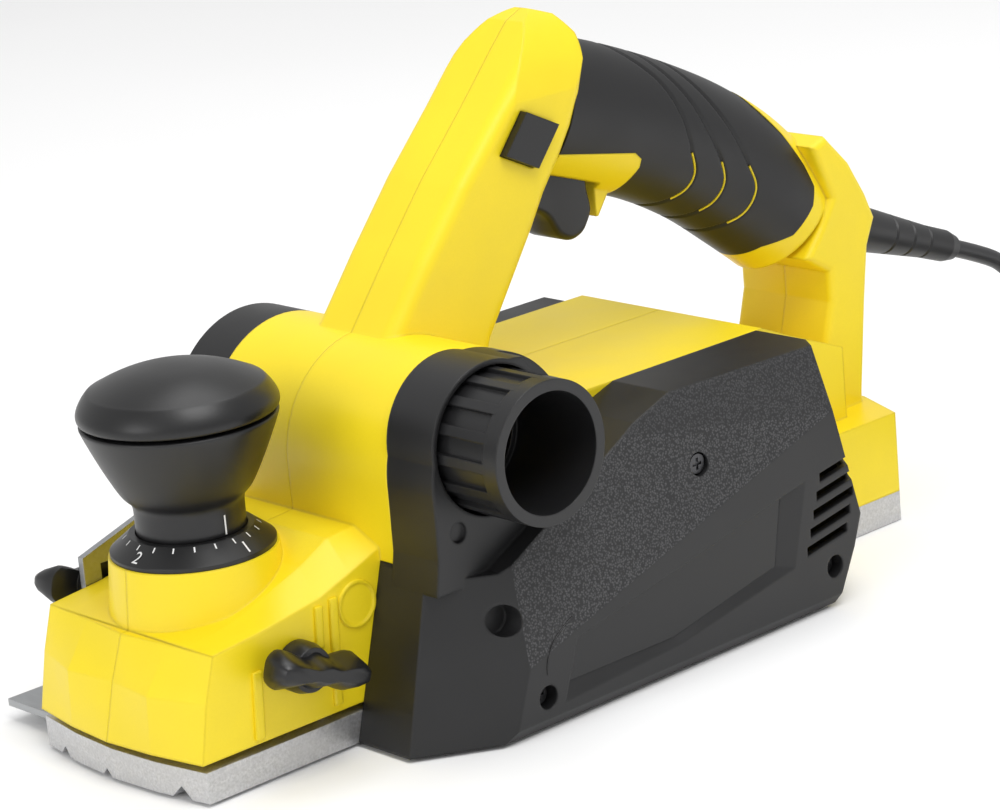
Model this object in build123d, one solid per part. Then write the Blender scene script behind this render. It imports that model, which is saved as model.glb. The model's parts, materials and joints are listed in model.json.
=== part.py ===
from build123d import *
import math
import os

# Electric hand planer. Millimetres.
# The tool's own frame while modelling: +X forward (direction of planing), +Y to the left (belt side),
# +Z up, z = 0 on the rear sole's face. Every piece is moved by SHIFT at the end, so that the origin is
# the middle of the tool's footprint box.

# Sole
CUT_WIDTH = 82.0
HALF = CUT_WIDTH / 2
REAR_X = -199.4
FRONT_X = 117.5
SOLE_T = 10.8
SHOE_LIFT = 1.0
SHOE_TOP = 11.0
BODY_BOTTOM = 13.6

SOLE_SCREWS = [(x, y) for x in (-40, -140) for y in (-28, 28)]
GUIDE_PIN_X = 62.0
GUIDE_PIN_SIDES = (-28, 28)
GUIDE_PIN_Z = 6.0

# Cutter block
CUT_X = 7.9
CUT_Z = 24.2
CUT_R = 24.0
BLOCK_R = 23.2
BLOCK_HALF = 40.5
CUTTER_SHAFT_R = 5.0

# Chip drum and outlet
DRUM_X = 7.9
DRUM_Z = 81.9
DRUM_R = 34.5
SEAM_RIGHT = -38.6
SEAM_LEFT = 47.9
CAP_RIGHT = -57.8
PORT_X = 16.0
PORT_Z = 92.9
PORT_OUT_R = 22.7
PORT_IN_R = 19.1
PORT_END = 94.2
SPIGOT_R = 19.0
PORT_RIBS = 15
PORT_BAND_Y = 88.0

# Motor
MOTOR_X = -88.0
MOTOR_Z = 50.0
MOTOR_CAVITY_R = 35.5
MOTOR_SHAFT_R = 4.0
HUMP_TOP = 90.0
HUMP_REAR = -127.0

# Belt drive
PULLEY_IN = 54.0
PULLEY_OUT = 68.0
CUTTER_PULLEY_R = 16.0
MOTOR_PULLEY_R = 9.5
BELT_T = 2.6
BELT_GAP = 0.35

# Belt cover
COVER_SIDE = 83.0
COVER_BOTTOM = 1.2
COVER_WALL = 2.6
SHELF_Y = 57.0
WALL_Y = 69.0
SOCKET_GAP = 0.9
CHEEK_PIT = (33.6, 68.0)
CHEEK_PIT_R = 3.2
PANEL_DEPTH = 2.0
PANEL_T = 0.8
VENTS = 5
VENT_PITCH = 5.9
VENT_H = 3.2

# Depth knob
KNOB_X = 82.5
SPINDLE_R = 5.0
COLLAR_Z = 65.1
COLLAR_TOP = 71.6
KNOB_CONE_Z = 83.9
KNOB_RIM_Z = 107.9

# Handle
POST_HALF = 19.0
POST_ARCH_Z = 173.0
POST_ARCH_HALF = 19.4
POST_ARCH_RISE = 32.8
HEEL_HALF = 22.0
SLEEVE_T = 2.4
# Grip sections: centre x, centre z, slope in degrees, half height, half width
GRIP = [
    (-76.0, 171.5, 20.0, 25.0, 18.6),
    (-97.0, 164.5, 22.0, 25.0, 19.0),
    (-123.0, 154.5, 27.0, 24.5, 19.4),
    (-149.0, 141.0, 32.0, 24.8, 20.0),
    (-173.0, 124.0, 40.0, 24.8, 20.6),
    (-188.0, 110.0, 47.0, 23.0, 20.6),
]

# Mains lead
LEAD_D = 6.6
LEAD_R = LEAD_D / 2
GUARD_START = (-213.0, 0.0, 101.9)
GUARD_SLOPE = 20.3
GUARD_LENGTH = 73.0
COIL_CENTRE = (-335.0, 76.0)
COIL_MID_R = 38.5
COIL_TURNS_ACROSS = 3
COIL_TURNS_UP = 3
TAIL_LENGTH = 16.0

CLAMP_X = -200.0
CLAMP_Z = 106.7
TRIGGER_PIVOT_X = -65.0
TRIGGER_PIVOT_Z = 152.5

# Accessories
STOP_CLAMP_X = 86.0
STOP_CLAMP_Z = 44.5
GUIDE_CLAMP_X = 80.0
GUIDE_CLAMP_Z = 34.0
GUARD_PIVOT_X = -13.0
GUARD_PIVOT_Z = 34.0
FOOT_PIVOT_X = -186.0
FOOT_PIVOT_Z = 4.2

# The footprint box of the whole tool without its lead: middle at x, y
NOSE_X = 123.8
STOP_FOOT_Y = -72.0
GUARD_TIP_R = 4.8
TAIL_X = (GUARD_START[0] - GUARD_LENGTH * math.cos(math.radians(GUARD_SLOPE))
          - GUARD_TIP_R * math.sin(math.radians(GUARD_SLOPE)))
SHIFT = Location((-(NOSE_X + TAIL_X) / 2, -(STOP_FOOT_Y + PORT_END) / 2, 0))

CENTRED_UP = (Align.CENTER, Align.CENTER, Align.MIN)


def xz_prism(points, y0, y1):
    """A polygon drawn in x and z, from y0 to y1."""
    wire = Wire.make_polygon([(x, y0, z) for x, z in points], close=True)
    return Solid.extrude(Face(wire), Vector(0, y1 - y0, 0))


def xy_prism(points, z0, z1):
    """A polygon drawn in x and y, from z0 to z1."""
    wire = Wire.make_polygon([(x, y, z0) for x, y in points], close=True)
    return Solid.extrude(Face(wire), Vector(0, 0, z1 - z0))


def ruled(points_a, points_b):
    """A solid between two polygons of as many points, with straight sides."""
    faces = [Face(Wire.make_polygon(points, close=True)) for points in (points_a, points_b)]
    return Solid.make_loft([face.outer_wire() for face in faces], ruled=True)


def block(x0, x1, y0, y1, z0, z1):
    size = Box(x1 - x0, y1 - y0, z1 - z0)
    return Pos((x0 + x1) / 2, (y0 + y1) / 2, (z0 + z1) / 2) * size


def rod(start, direction, radius, length):
    return Plane(origin=start, z_dir=direction) * Cylinder(radius, length, align=CENTRED_UP)


def rod_y(x, z, radius, y0, y1):
    return rod((x, y0, z), (0, 1, 0), radius, y1 - y0)


def tube_y(x, z, outer, inner, y0, y1):
    return rod_y(x, z, outer, y0, y1) - rod_y(x, z, inner, y0 - 1, y1 + 1)


def half_space(origin, normal):
    """A big block on the side of a plane that its normal points to."""
    return Plane(origin=origin, z_dir=normal) * Box(900, 900, 400, align=CENTRED_UP)


def turned(points, x, y):
    """A solid of revolution about a vertical axis, from its (radius, z) outline."""
    wire = Wire.make_polygon([(r, 0, z) for r, z in points], close=True)
    return Pos(x, y, 0) * revolve(Face(wire), Axis.Z)


def joined(pieces):
    return pieces[0].fuse(*pieces[1:]) if len(pieces) > 1 else pieces[0]


# ---------------------------------------------------------------- sole

def cutter_clearance(radius, low, high):
    """The space round the cutter block, stretched from low to high in z."""
    ends = [rod_y(CUT_X, CUT_Z + dz, radius, -60, 60) for dz in (low, high)]
    middle = block(CUT_X - radius, CUT_X + radius, -60, 60, CUT_Z + low, CUT_Z + high)
    return joined(ends + [middle])


def rear_sole():
    plan = [(3, -HALF), (3, HALF), (REAR_X, HALF), (-209, 18), (-209, -18), (REAR_X, -HALF)]
    plate = xy_prism(plan, 0, SOLE_T)
    plate -= cutter_clearance(25.0, 0, 1)
    plate -= block(-194, -147, -7.2, 7.2, -1, 7.8)
    plate -= rod_y(FOOT_PIVOT_X, FOOT_PIVOT_Z, 1.53, -14, 14)
    for x, y in SOLE_SCREWS:
        plate -= rod((x, y, -1), (0, 0, 1), 2.6, SOLE_T + 2)
        plate -= rod((x, y, -1), (0, 0, 1), 4.6, 5.2)
    return plate


def front_shoe():
    plan = [(14, -HALF), (FRONT_X, -HALF), (121, -20), (122.3, 0), (121, 20), (FRONT_X, HALF), (14, HALF)]
    shoe = xy_prism(plan, SHOE_LIFT, SHOE_TOP)
    shoe -= cutter_clearance(25.4, -2, 1)
    for y, width in ((-29, 6.0), (-4, 5.0), (30, 8.0)):
        groove = [(y - width / 2 - 0.5, 0.5), (y, SHOE_LIFT + width / 2), (y + width / 2 + 0.5, 0.5)]
        wire = Wire.make_polygon([(48, v, z) for v, z in groove], close=True)
        shoe -= Solid.extrude(Face(wire), Vector(90, 0, 0))
    for y in GUIDE_PIN_SIDES:
        shoe -= rod((GUIDE_PIN_X, y, GUIDE_PIN_Z), (0, 0, 1), 4.0, 10)
    return shoe


def shoe_guides():
    """Two pins behind, and the socket that the knob's spindle screws into."""
    pins = [rod((GUIDE_PIN_X, y, GUIDE_PIN_Z), (0, 0, 1), 3.97, 28.0) for y in GUIDE_PIN_SIDES]
    socket = rod((KNOB_X, 0, SHOE_TOP), (0, 0, 1), 9.0, 19.0)
    socket -= rod((KNOB_X, 0, 13.5), (0, 0, 1), SPINDLE_R + 0.05, 30)
    return pins + [socket]


def shoe_spring():
    outer = rod((KNOB_X, 0, SHOE_TOP + 0.3), (0, 0, 1), 13.0, 33.0)
    return outer - rod((KNOB_X, 0, SHOE_TOP), (0, 0, 1), 10.6, 40)


def sole_screws():
    screws = []
    for x, y in SOLE_SCREWS:
        head = rod((x, y, 1.6), (0, 0, 1), 4.4, 2.6)
        head -= rod((x, y, 1.0), (0, 0, 1), 1.6, 1.8)
        screws.append(head + rod((x, y, 4.2), (0, 0, 1), 2.5, 11.0))
    return screws


def parking_foot():
    side = [(FOOT_PIVOT_X, 1.0), (FOOT_PIVOT_X, 7.4), (-150, 4.6), (-148.5, 3.0), (-149.5, 1.2)]
    foot = xz_prism(side, -6.6, 6.6) + rod_y(FOOT_PIVOT_X, FOOT_PIVOT_Z, 3.2, -6.6, 6.6)
    return foot - rod_y(FOOT_PIVOT_X, FOOT_PIVOT_Z, 1.56, -20, 20)


def parking_foot_pin():
    return rod_y(FOOT_PIVOT_X, FOOT_PIVOT_Z, 1.5, -12.5, 12.5)


# ---------------------------------------------------------------- grip and housing shapes

def grip_loft(inset, first=0, last=None):
    wires = []
    for x, z, slope, half_height, half_width in GRIP[first:last]:
        back = (-math.cos(math.radians(slope)), 0, -math.sin(math.radians(slope)))
        plane = Plane(origin=(x, 0, z), x_dir=(0, 1, 0), z_dir=back)
        section = plane * Ellipse(half_width - inset, half_height - inset)
        wires.append(section.wire())
    return Solid.make_loft(wires)


POST_SIDE = [
    (30, 100), (12, 115.5), (-5.7, 137.4), (-23.8, 158.4), (-43.2, 178.1), (-60, 196), (-66.5, 202.5),
    (-73.5, 205.5), (-80, 203), (-84, 196.5), (-84.5, 188), (-81, 177), (-76, 167), (-69.5, 157.5),
    (-61.7, 147.5), (-54.5, 136), (-33.5, 106), (-24, 84), (20, 84),
]

HEEL_SIDE = [
    (-178, 36), (-186.5, 66), (-190.5, 80), (-190.5, 91), (-179, 98), (-188, 108), (-194, 117),
    (-185.5, 137), (-193, 139.5), (-204.4, 128), (-212.3, 115), (-216.5, 105.5),
    (-212, 96), (-209, 76), (-205, 44), (-204.5, 36),
]

# Where the rubber sleeve ends and the bare shell of the grip goes on behind it
SLEEVE_END = [
    (-160, 172), (-169.4, 154.2), (-178.6, 142.8), (-185.3, 130.7), (-188.2, 122.5), (-185.5, 116.2),
    (-176.4, 107.5), (-166, 105), (-157, 98), (-157, 80), (-235, 80), (-235, 172),
]

BAR_SIDE = [(-62, 160), (-103.5, 152.2), (-106.5, 149.5), (-106.5, 146.5), (-98, 132), (-62, 120)]


def soft_prism(side, half, radius):
    """An upright slab with rounded long edges."""
    slab = xz_prism(side, -half, half)
    ends = slab.faces().filter_by(Axis.Y)
    return fillet(ends.edges(), radius)


def beside_arch(y0, y1):
    """The space over the post's arch, on one side of the middle."""
    profile = Ellipse(POST_ARCH_RISE, POST_ARCH_HALF)
    arch = Pos(0, 0, POST_ARCH_Z) * Rot(0, 90, 0) * extrude(profile, 200, both=True)
    return block(-200, 200, y0, y1, POST_ARCH_Z + 2, 220) - arch


def front_post():
    """The front post of the handle, arched over its top."""
    slab = soft_prism(POST_SIDE, POST_HALF, 5.0)
    return slab - beside_arch(-30, 0) - beside_arch(0, 30)


def heel():
    """The rear post, and the bare end of the grip that runs into it."""
    return soft_prism(HEEL_SIDE, HEEL_HALF, 2.5) + (grip_loft(0, 3, None) & xz_prism(SLEEVE_END, -30, 30))


def trigger_bar():
    guard = xz_prism([(-103, 143), (-94.5, 131.5), (-91.5, 131.5), (-88.5, 145)], -7, 7)
    return (grip_loft(0, 0, 3) & xz_prism(BAR_SIDE, -30, 30)) + guard


def front_body():
    """The faceted nose over the front shoe, with the knob's pedestal."""
    def outline(z, corner, quarter, middle):
        return [(40, -HALF, z), (corner, -HALF, z), (quarter, -20, z), (middle, 0, z), (quarter, 20, z),
                (corner, HALF, z), (40, HALF, z)]

    levels = [
        outline(BODY_BOTTOM, 118.6, 122.2, NOSE_X),
        outline(32.0, 114.8, 121.2, 119.0),
        outline(46.0, 110.5, 111.6, 113.8),
    ]
    inner = [(40, 40), (110, 40), (111, 46.5), (92, 50), (66, 59), (54, 64.9), (40, 66)]
    outer = [(40, 40), (110, 40), (110.5, 46.2), (92, 48), (68, 51.5), (55, 56), (40, 61.5)]
    pieces = [ruled(levels[0], levels[1]), ruled(levels[1], levels[2]), xz_prism(inner, -30, 30)]
    for side in (-1, 1):
        near = [(x, side * 30.0, z) for x, z in inner]
        far = [(x, side * HALF, z) for x, z in outer]
        pieces.append(ruled(near, far))
    pedestal = turned([(0, 40), (29, 40), (28, 50), (26.6, COLLAR_Z), (0, COLLAR_Z)], KNOB_X, 0)
    pieces.append(pedestal)
    return joined(pieces)


def drum_body():
    pieces = [
        rod_y(DRUM_X, DRUM_Z, DRUM_R, SEAM_RIGHT, SEAM_LEFT),
        block(DRUM_X - DRUM_R, DRUM_X + DRUM_R, SEAM_RIGHT, SEAM_LEFT, 46, DRUM_Z),
        block(DRUM_X - DRUM_R, DRUM_X + DRUM_R, -HALF, SEAM_LEFT, BODY_BOTTOM, 47),
        block(DRUM_X - DRUM_R, -3, -HALF, SEAM_LEFT, SOLE_T, 20),
        xz_prism([(-24, 11.5), (40, 11.5), (40, 47), (-24, 47)], -46, -HALF),
    ]
    return joined(pieces)


def motor_body():
    hump = [(-20, SOLE_T), (-20, HUMP_TOP), (HUMP_REAR, HUMP_TOP), (-145, 82), (-145, SOLE_T)]
    tail = [(-120, SOLE_T), (-120, HUMP_TOP), (HUMP_REAR, HUMP_TOP), (-150, 80.5), (-186, 66), (-186, SOLE_T)]
    rear = [(-140, -HALF), (-140, HALF), (REAR_X, HALF), (-209, 18), (-209, -18), (REAR_X, -HALF)]
    return joined([
        xz_prism(hump, SEAM_RIGHT, SEAM_LEFT),
        xz_prism(tail, -30, 30),
        xy_prism(rear, SOLE_T, 40),
    ])


def guard_direction():
    angle = math.radians(GUARD_SLOPE)
    return (-math.cos(angle), 0, -math.sin(angle))


def guard_point(distance):
    direction = guard_direction()
    return tuple(GUARD_START[i] + direction[i] * distance for i in range(3))


LOCK_SIDE = [(-52.3, 176.9), (-66, 170.1), (-55.5, 157.7), (-41.8, 164.5)]


def middle_of(points):
    return sum(x for x, _ in points) / len(points), sum(z for _, z in points) / len(points)


def scaled(points, factor):
    """A polygon made larger or smaller about its own middle."""
    middle_x, middle_z = middle_of(points)
    return [(middle_x + (x - middle_x) * factor, middle_z + (z - middle_z) * factor) for x, z in points]


def housing_cavities():
    trigger_room = [(-93.5, 163), (-57, 163), (-57, 139), (-66, 120), (-93.5, 120)]
    cavities = [
        rod_y(MOTOR_X, MOTOR_Z, MOTOR_CAVITY_R, SEAM_RIGHT - 1, 41),
        rod_y(MOTOR_X, MOTOR_Z, 11.05, 40, 60),
        cutter_clearance(25.6, 0, 0.2) & block(-60, 60, -HALF, 41.3, -10, 60),
        rod_y(CUT_X, CUT_Z, 12.05, 40, 60),
        rod_y(CUT_X, CUT_Z, 11.05, -45.8, -40),
        block(CUT_X - 20, CUT_X + 22, -36, 41.3, 34, 84),
        rod_y(DRUM_X, DRUM_Z, 30.5, -36, 44.5),
        rod_y(PORT_X, PORT_Z, SPIGOT_R + 0.15, 40, 60),
        grip_loft(6.0, 1, 5),
        xz_prism(trigger_room, -9.8, 9.8),
        xz_prism(scaled(LOCK_SIDE, 1.03), 2, 30),
        rod((KNOB_X, 0, BODY_BOTTOM - 2), (0, 0, 1), 14.0, 34),
        rod((KNOB_X, 0, BODY_BOTTOM), (0, 0, 1), SPINDLE_R + 0.05, 60),
        rod(guard_point(-10), guard_direction(), LEAD_R + 1, 30),
        rod(guard_point(-4), guard_direction(), 9.2, 40),
        rod_y(GUIDE_CLAMP_X, GUIDE_CLAMP_Z, 3.05, 26, 60),
        rod_y(STOP_CLAMP_X, STOP_CLAMP_Z, 3.05, -60, -26),
        rod_y(GUARD_PIVOT_X, GUARD_PIVOT_Z, 2.03, -60, -42.5),
        rod_y(TRIGGER_PIVOT_X, TRIGGER_PIVOT_Z, 1.53, -13.6, 13.6),
        block(CLAMP_X - 3, CLAMP_X + 3, -9, 9, CLAMP_Z - 4, CLAMP_Z + 4),
    ]
    for y in GUIDE_PIN_SIDES:
        cavities.append(rod((GUIDE_PIN_X, y, BODY_BOTTOM - 2), (0, 0, 1), 4.05, 26))
    for x, y in SOLE_SCREWS:
        cavities.append(rod((x, y, SOLE_T - 1), (0, 0, 1), 2.53, 5.6))
    return cavities


def housing():
    shell = joined([front_body(), drum_body(), motor_body(), front_post(), heel(), trigger_bar(),
                    grip_loft(SLEEVE_T, 0, None)])
    return shell.cut(grip_sleeve(), *housing_cavities())


def housing_half(whole, side):
    return whole & block(-400, 400, min(0, side * 200), max(0, side * 200), -50, 300)


def grip_sleeve():
    sleeve = grip_loft(0, 0, None) - grip_loft(SLEEVE_T, 0, None)
    sleeve -= xz_prism(POST_SIDE, -30, 30)
    sleeve -= xz_prism(SLEEVE_END, -30, 30)
    sleeve -= xz_prism(BAR_SIDE, -30, 30)
    return max(sleeve.solids(), key=lambda solid: solid.volume)


# ---------------------------------------------------------------- covers

def cover_form(inset):
    """The belt cover's outside, or its hollow when its planes are moved in by inset."""
    side = [
        (58.5 - inset * 1.05, COVER_BOTTOM + inset), (-119, COVER_BOTTOM + inset),
        (-128 + inset, 18.7), (-141.5 + inset, 55), (-141 + inset, 62),
        (-124 + inset * 0.4, HUMP_TOP - inset), (-56, HUMP_TOP - inset),
        (-39 - inset, 84.5 - inset), (24 - inset, 53 - inset), (43.6 - inset, 53 - inset),
    ]
    form = xz_prism(side, SEAM_LEFT, COVER_SIDE - inset)
    form -= half_space((44 - inset, 62.5, 51), (770, 1224, 289))
    form -= half_space((21.5, COVER_SIDE - inset, 23), (287, 4385, 906))
    form -= half_space((0, COVER_SIDE - 2 - inset, COVER_BOTTOM), (0, 5, -3))
    form -= half_space((-63.8, 77.5 - inset, 76.6), (64.8, 1209.4, 342.4))
    form -= half_space((-121.5, 80 - inset, 75.0), (-0.80, 0.55, 0.22))
    return form


def cover_drum(inset, y1):
    """The round cheek beside the chip drum, down to the cover's slanted front, or its hollow when inset."""
    radius = DRUM_R - inset
    front = [(DRUM_X - radius, 50), (44.5 - inset, 50), (42.6 - inset, 61), (DRUM_X + radius, 75),
             (DRUM_X + radius, DRUM_Z), (DRUM_X - radius, DRUM_Z)]
    return joined([rod_y(DRUM_X, DRUM_Z, radius, SEAM_LEFT, y1), xz_prism(front, SEAM_LEFT, y1)])


def behind_port(offset, y0):
    """The open space behind the outlet, from y0 outwards."""
    return half_space((-8 + offset, 0, 100), (-1, 0, 0.6)) & block(-300, 300, y0, 90, 0, 300)


def port_cheek():
    """The drum's left cheek with its flat face, and the round socket that the outlet stands in."""
    cheek = cover_drum(0, WALL_Y) + rod_y(PORT_X, PORT_Z, PORT_OUT_R + SOCKET_GAP + 1.6, SEAM_LEFT, WALL_Y)
    cheek -= behind_port(0, SHELF_Y)
    cheek -= rod_y(PORT_X, PORT_Z, PORT_OUT_R + SOCKET_GAP, SHELF_Y + 0.2, 80)
    cheek -= rod_y(*CHEEK_PIT, CHEEK_PIT_R, WALL_Y - 1.4, WALL_Y + 2)
    return max(cheek.solids(), key=lambda solid: solid.volume)


def cheek_hollow():
    hollow = cover_drum(COVER_WALL, WALL_Y - COVER_WALL)
    hollow -= rod_y(PORT_X, PORT_Z, PORT_OUT_R + SOCKET_GAP + COVER_WALL, SHELF_Y - COVER_WALL, 80)
    hollow -= behind_port(COVER_WALL + 1, SHELF_Y - COVER_WALL)
    return hollow


# Screw pits, and a blind pit on the cover's front facet
PITS = [(-61, 65.6), (-118, 14.7), (15.3, 11.5)]
PIT_R = 3.9
PIT_BOSS = 2.3
FRONT_PIT = (25.5, 38.6)
FRONT_PIT_R = 5.0
PANEL_SIDE = [(0.5, 26.0), (6.0, 13.0), (-42.3, 12.8), (-91.0, 22.2), (-95.5, 45.6)]
RECESS_SIDE = [(1.0, 26.6), (8.4, 7.6), (-43.7, 10.6), (-98.6, 19.8), (-106.2, 47.9)]


def panel_recess():
    """Shallow recess with sloping walls that holds the panel."""
    floor = COVER_SIDE - PANEL_DEPTH
    rim = [(x, COVER_SIDE, z) for x, z in RECESS_SIDE]
    sloped = ruled([(x, floor, z) for x, z in PANEL_SIDE], rim)
    above = xz_prism(RECESS_SIDE, COVER_SIDE - 0.01, COVER_SIDE + 5)
    return [sloped, above, xz_prism(PANEL_SIDE, floor - PANEL_T, floor + 0.2)]


def cover_vents():
    """Slanting vent slots at the rear end of the cover."""
    vents = []
    for i in range(VENTS):
        x = -105 - 2.0 * i
        z = 21.8 + VENT_PITCH * i
        slot = [(x, z), (x, z + VENT_H), (x - 20, z + 2 * VENT_H), (x - 20, z + VENT_H)]
        vents.append(xz_prism(slot, 70, COVER_SIDE + 5))
    return vents


def belt_cover():
    cover = joined([cover_form(0), port_cheek()])
    lip = [(58.5, COVER_BOTTOM), (44, COVER_BOTTOM), (42.6, 50), (42.6, 56.5)]
    cover += xz_prism(lip, HALF + 0.2, SEAM_LEFT)
    hollow = cover_form(COVER_WALL) & block(-400, 400, SEAM_LEFT - 1, 200, -10, 300)
    cover -= hollow
    cover -= cheek_hollow()
    cover += tube_y(PORT_X, PORT_Z, SPIGOT_R + 2.5, SPIGOT_R + 0.15, SEAM_LEFT, SHELF_Y)
    cover -= rod_y(PORT_X, PORT_Z, SPIGOT_R + 0.15, SEAM_LEFT - 5, SHELF_Y + 5)
    for x, z in PITS:
        cover += rod_y(x, z, PIT_R + PIT_BOSS, 71, COVER_SIDE) & cover_form(0)
        cover -= rod_y(x, z, PIT_R, 76, COVER_SIDE + 2)
        cover -= rod_y(x, z, 1.53, 70, COVER_SIDE)
    x, z = FRONT_PIT
    cover += rod_y(x, z, FRONT_PIT_R + 2, 70, COVER_SIDE) & cover_form(0)
    cover -= rod_y(x, z, FRONT_PIT_R, 72, COVER_SIDE + 2)
    backing = COVER_SIDE - PANEL_DEPTH - PANEL_T
    cover += xz_prism(RECESS_SIDE, backing - 2.0, COVER_SIDE - COVER_WALL + 0.2) & cover_form(0)
    cover = cover.cut(*panel_recess(), *cover_vents())
    return max(cover.solids(), key=lambda solid: solid.volume)


def cover_panel():
    floor = COVER_SIDE - PANEL_DEPTH
    return xz_prism(PANEL_SIDE, floor - PANEL_T, floor)


def cover_screws():
    screws = []
    for x, z in PITS:
        head = rod_y(x, z, 3.3, 76.1, 78.6)
        head -= block(x - 0.5, x + 0.5, 77.8, 80, z - 2, z + 2)
        head -= block(x - 2, x + 2, 77.8, 80, z - 0.5, z + 0.5)
        screws.append(head + rod_y(x, z, 1.5, 71.5, 76.2))
    return screws


def right_cover_side(inset):
    return [
        (-30 - inset, 14 + inset), (-30 - inset, HUMP_TOP - 1 - inset), (-121 + inset, HUMP_TOP - 1 - inset),
        (-133 + inset, 80), (-141 + inset, 60), (-134 + inset, 14 + inset),
    ]


def side_cover_right():
    outer = joined([
        xz_prism(right_cover_side(0), -52, SEAM_RIGHT - 0.05),
        rod_y(DRUM_X, DRUM_Z, DRUM_R, CAP_RIGHT, SEAM_RIGHT - 0.05),
        block(-31, -15, -52, SEAM_RIGHT - 0.05, 60, 84),
    ])
    outer -= block(-29, 60, -80, -30, 0, CUT_Z + CUT_R + 0.8)
    inner = xz_prism(right_cover_side(2.5), -49.5, SEAM_RIGHT + 5)
    inner += rod_y(DRUM_X, DRUM_Z, DRUM_R - 3, CAP_RIGHT + 2.5, SEAM_RIGHT + 5)
    cover = outer - inner
    hub = tube_y(MOTOR_X, MOTOR_Z, 14, 9.53, -50, -40.6)
    cover += hub
    for i in range(6):
        z = 30 + 7 * i
        cover -= block(-128, -108, -60, -45, z, z + 3.2)
    return max(cover.solids(), key=lambda solid: solid.volume)


def chip_port():
    """A push-on adapter: plain spigot inside, ribbed collar outside."""
    body = tube_y(PORT_X, PORT_Z, PORT_OUT_R - 1.4, PORT_IN_R, SHELF_Y + 0.3, PORT_END)
    body += tube_y(PORT_X, PORT_Z, PORT_OUT_R, PORT_IN_R, PORT_BAND_Y, PORT_END)
    body += tube_y(PORT_X, PORT_Z, PORT_OUT_R, PORT_IN_R, SHELF_Y + 0.3, 62)
    body += tube_y(PORT_X, PORT_Z, SPIGOT_R, SPIGOT_R - 2, 46, SHELF_Y + 1)
    body += tube_y(PORT_X, PORT_Z, PORT_OUT_R - 1.2, SPIGOT_R - 2, SHELF_Y + 0.3, SHELF_Y + 2)
    body -= rod_y(PORT_X, PORT_Z, SPIGOT_R - 2, 45, 60)
    for i in range(PORT_RIBS):
        rib = Pos(PORT_X, 75, PORT_Z) * Rot(0, 360 / PORT_RIBS * i, 0) * Pos(PORT_OUT_R - 1.1, 0, 0)
        body += rib * Box(2.2, 28, 3.4)
    body -= rod_y(PORT_X, PORT_Z, PORT_IN_R, SHELF_Y + 2, 100)
    return body


# ---------------------------------------------------------------- depth knob

def dial_ring():
    return turned([(17.5, COLLAR_Z), (26, COLLAR_Z), (26, COLLAR_Z + 1.4), (19.6, COLLAR_TOP),
                   (17.5, COLLAR_TOP)], KNOB_X, 0)


def knob_body():
    outline = [
        (SPINDLE_R + 0.03, COLLAR_Z + 0.4), (17.2, COLLAR_Z + 0.4), (17.0, KNOB_CONE_Z - 3.5),
        (18.0, KNOB_CONE_Z - 1.0), (20.3, KNOB_CONE_Z), (25.6, KNOB_CONE_Z + 10.0), (31.2, KNOB_RIM_Z),
        (SPINDLE_R + 0.03, KNOB_RIM_Z),
    ]
    return turned(outline, KNOB_X, 0)


def knob_cap():
    outline = [(0, KNOB_RIM_Z + 0.4), (30.6, KNOB_RIM_Z + 0.4), (31.6, KNOB_RIM_Z + 1.6),
               (31.4, KNOB_RIM_Z + 4), (27.4, KNOB_RIM_Z + 9.2)]
    for i in range(1, 7):
        angle = math.radians(15 * i)
        height = 7.4
        outline.append((26.6 * math.cos(angle), KNOB_RIM_Z + 9.2 + height * math.sin(angle)))
    outline[-1] = (0, KNOB_RIM_Z + 16.6)
    return turned(outline, KNOB_X, 0)


def knob_spindle():
    return rod((KNOB_X, 0, 16.5), (0, 0, 1), SPINDLE_R, KNOB_RIM_Z - 16.6)


# ---------------------------------------------------------------- cutter block

def cutter_slots(width, depth):
    """One slot on each side of the block for its knife and clamp bar."""
    slots = []
    for side in (-1, 1):
        slots.append(block(CUT_X + side * (BLOCK_R - depth / 2) - depth / 2 - 1,
                           CUT_X + side * (BLOCK_R - depth / 2) + depth / 2 + 1,
                           -BLOCK_HALF - 1, BLOCK_HALF + 1, CUT_Z - width / 2, CUT_Z + width / 2))
    return slots


def cutter_block():
    body = rod_y(CUT_X, CUT_Z, BLOCK_R, -BLOCK_HALF, BLOCK_HALF)
    body += rod_y(CUT_X, CUT_Z, CUTTER_SHAFT_R, -45.4, PULLEY_OUT + 6)
    return body.cut(*cutter_slots(10.0, 10.0))


def cutter_inserts():
    """Knives, clamp bars and clamp screws, in the two slots of the block."""
    knives, bars, screws = [], [], []
    for side in (-1, 1):
        x0 = CUT_X + side * 13.2
        x1 = CUT_X + side * (CUT_R - 0.1)
        z_knife = CUT_Z + side * 4.3
        knives.append(block(min(x0, x1), max(x0, x1), -BLOCK_HALF, BLOCK_HALF, z_knife - 0.6, z_knife + 0.6))
        x1 = CUT_X + side * (BLOCK_R - 1.8)
        z_bar = CUT_Z - side * 0.65
        bar = block(min(x0, x1), max(x0, x1), -BLOCK_HALF, BLOCK_HALF, z_bar - 4.2, z_bar + 4.2)
        for y in (-27, 0, 27):
            start = (x1 - side * 5, y, z_bar)
            bar -= rod(start, (side, 0, 0), 3.03, 10)
            screws.append(rod(start, (side, 0, 0), 3.0, 4.6))
        bars.append(bar)
    return knives, bars, screws


def bearing(x, z, outer, inner, y0, y1):
    ring = tube_y(x, z, outer, inner, y0, y1)
    for y in (y0, y1):
        ring -= tube_y(x, z, outer - 2.0, inner + 2.0, y - 0.4, y + 0.4)
    return ring


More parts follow.
